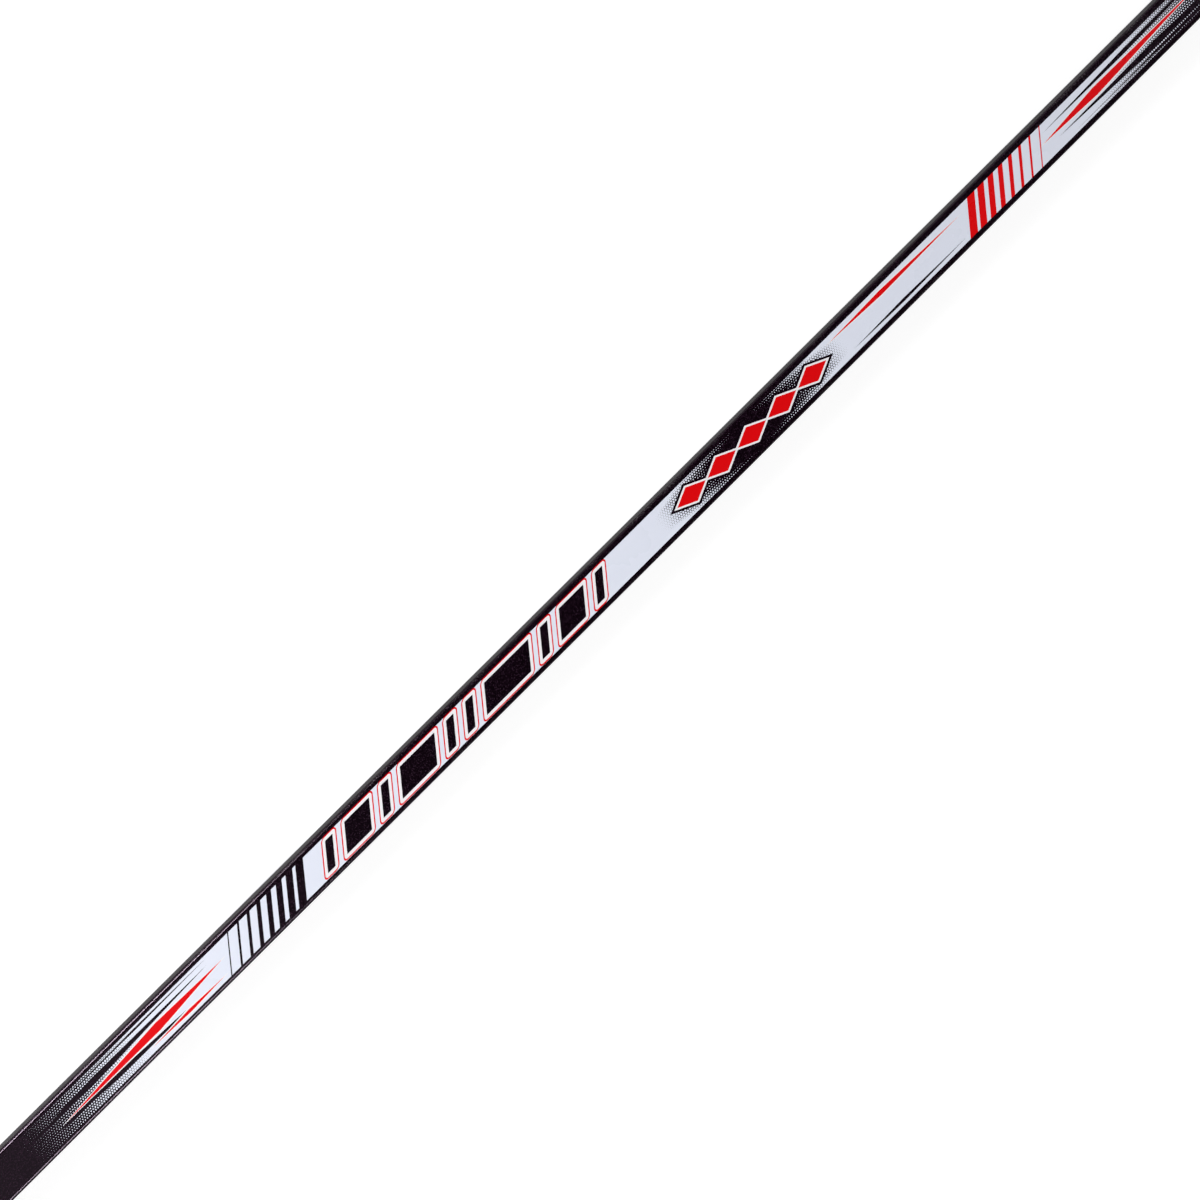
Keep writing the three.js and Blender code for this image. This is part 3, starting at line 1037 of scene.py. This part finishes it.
def film_places(low, high, inner, outer):
    """The film's strips side by side with their rims folded out, and its hidden face above them."""
    centre = (low + high) / 2
    length, width = high.x - low.x, high.y - low.y
    strip_length = length / FILM_STRIPS

    def place(face, point):
        strip = min(int((face.center.x - low.x) / strip_length), FILM_STRIPS - 1)
        run = point.x - low.x - strip * strip_length
        across = point.y - low.y
        if abs(face.center.z - inner) < SAME_FACE:
            return FILM_MAP_GAP + run, FILM_HIDDEN_BAND + across * FILM_HIDDEN_SHARE
        depth = abs(outer - point.z)
        run += depth * (point.x - centre.x) / (length / 2)
        across += depth * (point.y - centre.y) / (width / 2)
        return FILM_MAP_GAP + strip * (width + FILM_MAP_GAP) + across, FILM_MAP_GAP + run

    return place


def way_round(y, z, half_width, half_depth, radius):
    """How far round a rounded box a point lies, from the lower end of its +Y side upwards."""
    flat_y, flat_z = half_width - radius, half_depth - radius
    core_y = max(-flat_y, min(flat_y, y))
    core_z = max(-flat_z, min(flat_z, z))
    angle = math.atan2(z - core_z, y - core_y) % (4 * QUARTER_TURN)
    flats = (2 * flat_z, 2 * flat_y) * 2
    side = round(angle / QUARTER_TURN)
    if abs(angle - side * QUARTER_TURN) > SAME_ANGLE:
        passed = int(angle / QUARTER_TURN) + 1
        return radius * angle + sum(flats[:passed])
    side %= 4
    progress = (flat_z + core_z, flat_y - core_y, flat_z - core_z, flat_y + core_y)[side]
    return radius * side * QUARTER_TURN + sum(flats[:side]) + progress


def shaft_places(corner_radius, bore_radius):
    """The shaft's outside unrolled in lengths side by side, with its ends and its bore above them."""
    strip_length = (SHAFT_HIGH.x - SHAFT_LOW.x) / SHAFT_STRIPS
    outside = SHAFT_WIDTH / 2, SHAFT_DEPTH / 2, corner_radius
    bore = SHAFT_WIDTH / 2 - SHAFT_WALL, SHAFT_DEPTH / 2 - SHAFT_WALL, bore_radius

    def girth(half_width, half_depth, radius):
        return 4 * (half_width + half_depth) - 8 * radius + 4 * QUARTER_TURN * radius

    def around(face, point, section):
        """The way round to a corner, on the same turn as the middle of its face."""
        middle = way_round(face.center.y, face.center.z - CENTRE_Z, *section)
        way = way_round(point.y, point.z - CENTRE_Z, *section)
        if way < middle - girth(*section) / 2:
            way += girth(*section)
        return way

    def place(face, point):
        if abs(face.normal.x) > 0.5:
            spot = SHAFT_END_SPOTS[0 if face.normal.x < 0 else 1]
            return spot + point.y + SHAFT_WIDTH / 2, SHAFT_BORE_BAND + point.z
        strip = min(int((face.center.x - SHAFT_LOW.x) / strip_length), SHAFT_STRIPS - 1)
        run = point.x - SHAFT_LOW.x - strip * strip_length
        outwards = face.normal.y * face.center.y + face.normal.z * (face.center.z - CENTRE_Z)
        if outwards < 0:
            return SHAFT_MAP_GAP + run, SHAFT_BORE_BAND + around(face, point, bore) * SHAFT_BORE_SHARE
        column, row = divmod(strip, SHAFT_MAP_ROWS)
        left = SHAFT_MAP_GAP + column * (girth(*outside) + SHAFT_MAP_GAP)
        low = SHAFT_MAP_GAP + row * (strip_length + SHAFT_MAP_GAP)
        return left + around(face, point, outside), low + run

    return place


# Operators


class STICK_OT_shaft(Operator):
    """Makes the hollow shaft with its flecked black paint"""

    bl_idname = "stick.shaft"
    bl_label = "Shaft"

    def execute(self, context):
        settings = context.scene.stick_shaft
        paint = shaft_paint(settings)
        piece = put_in_scene(SHAFT_PIECE, bpy.data.meshes.new(SHAFT_PIECE))
        add_tree(piece, swept_tube_tree(), {
            "Length": SHAFT_HIGH.x - SHAFT_LOW.x, "Width": SHAFT_WIDTH, "Depth": SHAFT_DEPTH,
            "Wall": SHAFT_WALL, "Corner radius": settings.corner_radius,
            "Bore radius": settings.bore_radius, "Corner steps": CORNER_STEPS,
            "Strips": SHAFT_STRIPS, "Start": (SHAFT_LOW.x, 0.0, CENTRE_Z), "Finish": paint})
        made_plain(piece)
        shade(piece.data)
        add_map(piece.data, SHAFT_MAP_SIDE, shaft_places(settings.corner_radius, settings.bore_radius))
        finish_piece(piece, "shaft_tube")
        return {"FINISHED"}


class STICK_OT_films(Operator):
    """Makes the printed films on the front and the back"""

    bl_idname = "stick.films"
    bl_label = "Films"

    def execute(self, context):
        settings, paint = context.scene.stick_film, context.scene.stick_shaft
        for name, node, side in ((FRONT_FILM_PIECE, "front_graphic_film", 1.0),
                                 (BACK_FILM_PIECE, "back_graphic_film", -1.0)):
            low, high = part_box(node)
            mesh = self.film_mesh(name, low, high, side, settings)
            piece = put_in_scene(name, mesh, film_ink(name + "_ink", settings, paint, side))
            finish_piece(piece, node)
        return {"FINISHED"}

    def film_mesh(self, name, low, high, side, settings):
        """A flat sheet with round corners, cut into strips, its outer rim slightly rounded."""
        inner, outer = (low.z, high.z) if side > 0 else (high.z, low.z)
        made = bmesh.new()
        centre = (low + high) / 2
        outline = rounded_rectangle(high.x - low.x, high.y - low.y, settings.corner_radius)
        face = made.faces.new([made.verts.new((centre.x + x, centre.y + y, inner)) for x, y in outline])
        for i in range(1, FILM_STRIPS):
            cut = low.x + (high.x - low.x) * i / FILM_STRIPS
            bmesh.ops.bisect_plane(made, geom=[*made.verts, *made.edges, *made.faces],
                                   plane_co=(cut, 0, 0), plane_no=(1, 0, 0))
        grown = bmesh.ops.extrude_face_region(made, geom=list(made.faces), use_keep_orig=True)
        raised = [item for item in grown["geom"] if isinstance(item, bmesh.types.BMVert)]
        bmesh.ops.translate(made, verts=raised, vec=(0, 0, outer - inner))
        rim = [edge for edge in made.edges
               if all(abs(v.co.z - outer) < SAME_EDGE for v in edge.verts)
               and edge.calc_face_angle(0.0) > RIM_ANGLE]
        bmesh.ops.bevel(made, geom=rim, offset=settings.edge_round, segments=2, affect="EDGES")
        bmesh.ops.recalc_face_normals(made, faces=made.faces)
        mesh = as_mesh(name, made)
        shade(mesh)
        add_map(mesh, FILM_MAP_SIDE, film_places(low, high, inner, outer))
        return mesh


class STICK_OT_tip(Operator):
    """Makes the moulded tip: nose, taper, collar, drag grooves and the tenon in the bore"""

    bl_idname = "stick.tip"
    bl_label = "Tip"

    def execute(self, context):
        settings, shaft = context.scene.stick_tip, context.scene.stick_shaft
        self.collar = SHAFT_LOW.x - settings.collar_length
        self.taper_start = TIP_LOW.x + settings.nose_length
        self.full = with_flats(shaft_outline(0.0, shaft.corner_radius))
        tenon = with_flats(shaft_outline(TENON_INSET, shaft.bore_radius))
        sections = [*self.nose_sections(settings), *self.taper_sections(settings),
                    *self.tenon_sections(settings, tenon)]
        piece = put_in_scene(TIP_PIECE, loft(TIP_PIECE, sections))
        plastic = moulded_plastic("moulded_tip_plastic", settings.plastic, shaft.corner_radius,
                                  **TIP_FINISH)
        add_tree(piece, drag_groove_tree(), {
            "First": TIP_LOW.x + settings.first_groove, "Pitch": settings.groove_pitch,
            "Count": settings.groove_count, "Width": settings.groove_width,
            "Depth": settings.groove_depth, "Softness": settings.groove_softness,
            "Centre height": CENTRE_Z, "Taper start": self.taper_start, "Taper end": self.collar,
            "Start half depth": settings.end_depth / 2, "End half depth": SHAFT_DEPTH / 2,
            "Reach": self.collar, "Finish": plastic})
        made_plain(piece)
        shade(piece.data)
        finish_piece(piece, "tip_body")
        return {"FINISHED"}

    def grown(self, x):
        """0 where the nose ends, 1 where the collar starts."""
        return max(0.0, min(1.0, (x - self.taper_start) / (self.collar - self.taper_start)))

    def section(self, settings, x, oval, width_round=1.0, depth_round=1.0):
        """The tip's outline at x: the shaft's own, made smaller, and by the oval share an ellipse."""
        width = settings.end_width + (SHAFT_WIDTH - settings.end_width) * self.grown(x)
        depth = settings.end_depth + (SHAFT_DEPTH - settings.end_depth) * self.grown(x)
        points = []
        for y, z in self.full:
            angle = math.atan2(z / (SHAFT_DEPTH / 2), y / (SHAFT_WIDTH / 2))
            y += (SHAFT_WIDTH / 2 * math.cos(angle) - y) * oval
            z += (SHAFT_DEPTH / 2 * math.sin(angle) - z) * oval
            ridge = self.parting(settings, angle, x) if width_round == 1.0 else 0.0
            points.append((y * width / SHAFT_WIDTH * width_round + ridge,
                           z * depth / SHAFT_DEPTH * depth_round))
        return points

    def parting(self, settings, angle, x):
        """The mould's parting line: a low ridge along both narrow sides, gone before the collar."""
        fade = max(0.0, min(1.0, (self.collar - x) / settings.parting_fade))
        nearness = max(0.0, 1 - abs(math.sin(angle)) / settings.parting_spread)
        return math.copysign(settings.parting_height * fade * nearness, math.cos(angle))

    def nose_sections(self, settings):
        """Rings that round off the tip's end, at even turns of the curve."""

        def rounding(distance, length):
            left = 1 - min(distance / length, 1)
            return math.sqrt(1 - left * left)

        for i in range(NOSE_STEPS):
            angle = (i + NOSE_FIRST_STEP) / NOSE_STEPS * QUARTER_TURN
            distance = settings.nose_length * (1 - math.cos(angle))
            left = 1 - distance / settings.nose_length
            oval = settings.oval_share + (1 - settings.oval_share) * left
            ring = self.section(settings, TIP_LOW.x + distance, oval,
                                rounding(distance, settings.nose_length),
                                rounding(distance, settings.nose_depth_round))
            yield TIP_LOW.x + (distance if i else 0.0), ring

    def taper_sections(self, settings):
        """Close rings from the nose to the collar, so that the grooves can be pressed into them."""
        for i in range(TAPER_STEPS + 1):
            x = self.taper_start + (self.collar - self.taper_start) * i / TAPER_STEPS
            yield x, self.section(settings, x, settings.oval_share * (1 - self.grown(x)))

    def tenon_sections(self, settings, tenon):
        """The collar's end with its chamfer, and the tenon with its lead-in."""
        shoulder, chamfer, keep = SHAFT_LOW.x, settings.joint_chamfer, settings.tenon_end_share
        yield shoulder - chamfer, self.section(settings, shoulder, 0.0)
        yield shoulder, drawn_in(self.full, chamfer)
        yield shoulder, tenon
        yield TIP_GLUE_HIGH.x, tenon
        yield TIP_HIGH.x, [(y * keep, z * keep) for y, z in tenon]


class STICK_OT_plug(Operator):
    """Makes the end plug: a flange with a round edge and a hollow spigot"""

    bl_idname = "stick.plug"
    bl_label = "End plug"

    def execute(self, context):
        settings, shaft = context.scene.stick_plug, context.scene.stick_shaft
        chamfer = context.scene.stick_tip.joint_chamfer
        shaft_end, butt, spigot_end = SHAFT_HIGH.x, PLUG_HIGH.x, PLUG_LOW.x
        full = shaft_outline(0.0, shaft.corner_radius)
        spigot = shaft_outline(TENON_INSET, shaft.bore_radius)
        hollow = shaft_outline(TENON_INSET + settings.spigot_wall, shaft.bore_radius)
        sections = [(butt - settings.end_wall, hollow), (spigot_end, hollow), (spigot_end, spigot),
                    (shaft_end, spigot), (shaft_end, drawn_in(full, chamfer)),
                    (shaft_end + chamfer, full)]
        for i in range(ROUND_STEPS + 1):
            angle = i / ROUND_STEPS * QUARTER_TURN
            x = butt - settings.flange_round * (1 - math.sin(angle))
            sections.append((x, drawn_in(full, settings.flange_round * (1 - math.cos(angle)))))
        plastic = moulded_plastic("moulded_plug_plastic", settings.plastic, shaft.corner_radius,
                                  **PLUG_FINISH)
        piece = put_in_scene(PLUG_PIECE, loft(PLUG_PIECE, sections), plastic)
        shade(piece.data)
        finish_piece(piece, "butt_plug")
        return {"FINISHED"}


class STICK_OT_inside(Operator):
    """Gives the glue and the foam inside the shaft their finishes"""

    bl_idname = "stick.inside"
    bl_label = "Glue and foam"

    def execute(self, context):
        glue, foam = hot_melt(), closed_cell_foam()
        finishes = {"tip_glue_sleeve": glue, "plug_glue_sleeve": glue, "foam_stopper": foam}
        for node, material in finishes.items():
            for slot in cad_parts[node].material_slots:
                slot.material = material
        return {"FINISHED"}


class STICK_OT_stage(Operator):
    """Makes the pale floor, the soft lamps and the camera"""

    bl_idname = "stick.stage"
    bl_label = "Stage"

    def execute(self, context):
        settings = context.scene.stick_stage
        scene = context.scene
        scene.view_settings.view_transform = "Standard"
        self.make_floor(settings)
        self.make_sky(scene, settings)
        x, y, z = KEY_PLACE
        for name, place, power in (("left_key_softbox", (x, y, z), settings.left_key_power),
                                   ("right_key_softbox", (x, -y, z), settings.right_key_power)):
            self.make_lamp(name, place, KEY_SIZE, power).visible_glossy = False
        x, y, z = GLINT_PLACE
        for name, place, power in (("left_glint", (x, y, z), settings.left_glint_power),
                                   ("right_glint", (x, -y, z), settings.right_glint_power)):
            glint = self.make_lamp(name, place, GLINT_SIZE, power, aim=(x, 0.0, 0.0))
            glint.data.spread = GLINT_SPREAD
            glint.visible_diffuse = False
        self.make_lamp("butt_fill_softbox", FILL_PLACE, FILL_SIZE, settings.fill_power)
        self.make_lamp("tip_veil_softbox", VEIL_PLACE, VEIL_SIZE, settings.veil_power)
        self.make_camera(scene, settings)
        return {"FINISHED"}

    def ray_kinds(self, w):
        """1 for what the camera looks at, also through glass, and 1 for what is mirrored."""
        path = w.node("ShaderNodeLightPath")
        looked_at = w.maths("MAXIMUM", path["Is Camera Ray"], path["Is Transmission Ray"])
        return looked_at, path["Is Glossy Ray"]

    def make_floor(self, settings):
        made = bmesh.new()
        bmesh.ops.create_grid(made, x_segments=8, y_segments=8, size=settings.floor_size / 2)
        material = bpy.data.materials.new("pale_floor")
        w = emptied(material)
        looked_at, mirrored = self.ray_kinds(w)
        seen_drop, mirrored_drop = FLOOR_GREY - FLOOR_SEEN_GREY, FLOOR_GREY - FLOOR_MIRRORED_GREY
        grey = FLOOR_GREY - (looked_at * seen_drop + mirrored * mirrored_drop)
        place = w.node("ShaderNodeVectorMath", {
            0: w.node("ShaderNodeTexCoord")["Object"], 1: (FLOOR_ALONG_SHARE, 1.0, 1.0)},
            operation="MULTIPLY")
        away = w.node("ShaderNodeVectorMath", {0: place}, operation="LENGTH")["Value"]
        far = w.ramp(away, *FLOOR_WHITENING)
        seen_glow = w.maths("MULTIPLY_ADD", far, 1.0 - FLOOR_GLOW, FLOOR_GLOW)
        strength = looked_at * seen_glow + mirrored * FLOOR_MIRRORED_GLOW
        matt = w.node("ShaderNodeBsdfDiffuse", {"Color": grey})
        glow = w.node("ShaderNodeEmission", {"Color": (1, 1, 1, 1), "Strength": strength})
        both = w.node("ShaderNodeAddShader", {0: matt, 1: glow})
        w.node("ShaderNodeOutputMaterial", {"Surface": both}, is_active_output=True)
        put_in_scene("floor", as_mesh("floor", made), material)

    def make_sky(self, scene, settings):
        """White to the camera, and a white horizon under a dim ceiling to what mirrors it."""
        scene.world = bpy.data.worlds.new("studio")
        w = emptied(scene.world)
        looked_at, mirrored = self.ray_kinds(w)
        _, sideways, height = w.parts(w.node("ShaderNodeTexCoord")["Generated"])
        horizon = (1.0 - w.ramp(height, *HORIZON_FADE)) * w.ramp(sideways, *HORIZON_SIDE)
        white = w.maths("MAXIMUM", looked_at, horizon * mirrored)
        dim = settings.sky - mirrored * (settings.sky * (1.0 - CEILING_SHARE))
        strength = w.maths("MAXIMUM", white, dim)
        light = w.node("ShaderNodeBackground", {"Color": (1, 1, 1, 1), "Strength": strength})
        w.node("ShaderNodeOutputWorld", {"Surface": light})

    def make_lamp(self, name, place, size, power, aim=(0.0, 0.0, 0.0)):
        lamp = bpy.data.lights.new(name, "AREA")
        lamp.shape = "RECTANGLE"
        lamp.size, lamp.size_y = size
        lamp.energy = power
        holder = bpy.data.objects.new(name, lamp)
        bpy.context.scene.collection.objects.link(holder)
        holder.location = place
        holder.rotation_euler = (Vector(aim) - Vector(place)).to_track_quat("-Z", "Y").to_euler()
        return holder

    def make_camera(self, scene, settings):
        """The camera leans from straight above towards the tip and the +Y side, and is rolled."""
        lean, side = settings.lean_to_tip, settings.lean_to_side
        up_part = math.cos(lean)
        back = Vector((-math.sin(lean), math.sin(side) * up_part, math.cos(side) * up_part))
        level = (Vector((1, 0, 0)) - back * back.x).normalized()
        upright = back.cross(level)
        right = level * math.cos(settings.roll) - upright * math.sin(settings.roll)
        up = back.cross(right)
        camera = bpy.data.cameras.new("camera")
        camera.lens = settings.lens
        holder = bpy.data.objects.new("camera", camera)
        scene.collection.objects.link(holder)
        holder.location = Vector(settings.aim) + back * settings.camera_distance
        holder.rotation_euler = Matrix((right, up, back)).transposed().to_euler()
        scene.camera = holder


class STICK_PT_pieces(Panel):
    """Lists the pieces of the stick"""

    bl_idname = "STICK_PT_pieces"
    bl_label = "Ringette stick"
    bl_space_type = "VIEW_3D"
    bl_region_type = "UI"
    bl_category = "Stick"

    def draw(self, context):
        for operator in MAKERS:
            self.layout.operator(operator.bl_idname)
        for name in SETTINGS:
            box = self.layout.box()
            group = getattr(context.scene, name)
            for key in group.bl_rna.properties.keys():
                if key not in ("rna_type", "name"):
                    box.prop(group, key)


SETTINGS = {
    "stick_shaft": ShaftSettings,
    "stick_film": FilmSettings,
    "stick_tip": TipSettings,
    "stick_plug": PlugSettings,
    "stick_stage": StageSettings,
}
MAKERS = (STICK_OT_shaft, STICK_OT_films, STICK_OT_tip, STICK_OT_plug, STICK_OT_inside, STICK_OT_stage)


def register():
    for kind in (*SETTINGS.values(), *MAKERS, STICK_PT_pieces):
        bpy.utils.register_class(kind)
    for name, kind in SETTINGS.items():
        setattr(bpy.types.Scene, name, PointerProperty(type=kind))


def unregister():
    for name in SETTINGS:
        delattr(bpy.types.Scene, name)
    for kind in reversed((*SETTINGS.values(), *MAKERS, STICK_PT_pieces)):
        bpy.utils.unregister_class(kind)


def main():
    register()
    bpy.ops.stick.shaft()
    bpy.ops.stick.films()
    bpy.ops.stick.tip()
    bpy.ops.stick.plug()
    bpy.ops.stick.inside()
    bpy.ops.stick.stage()


if __name__ == "__main__":
    main()
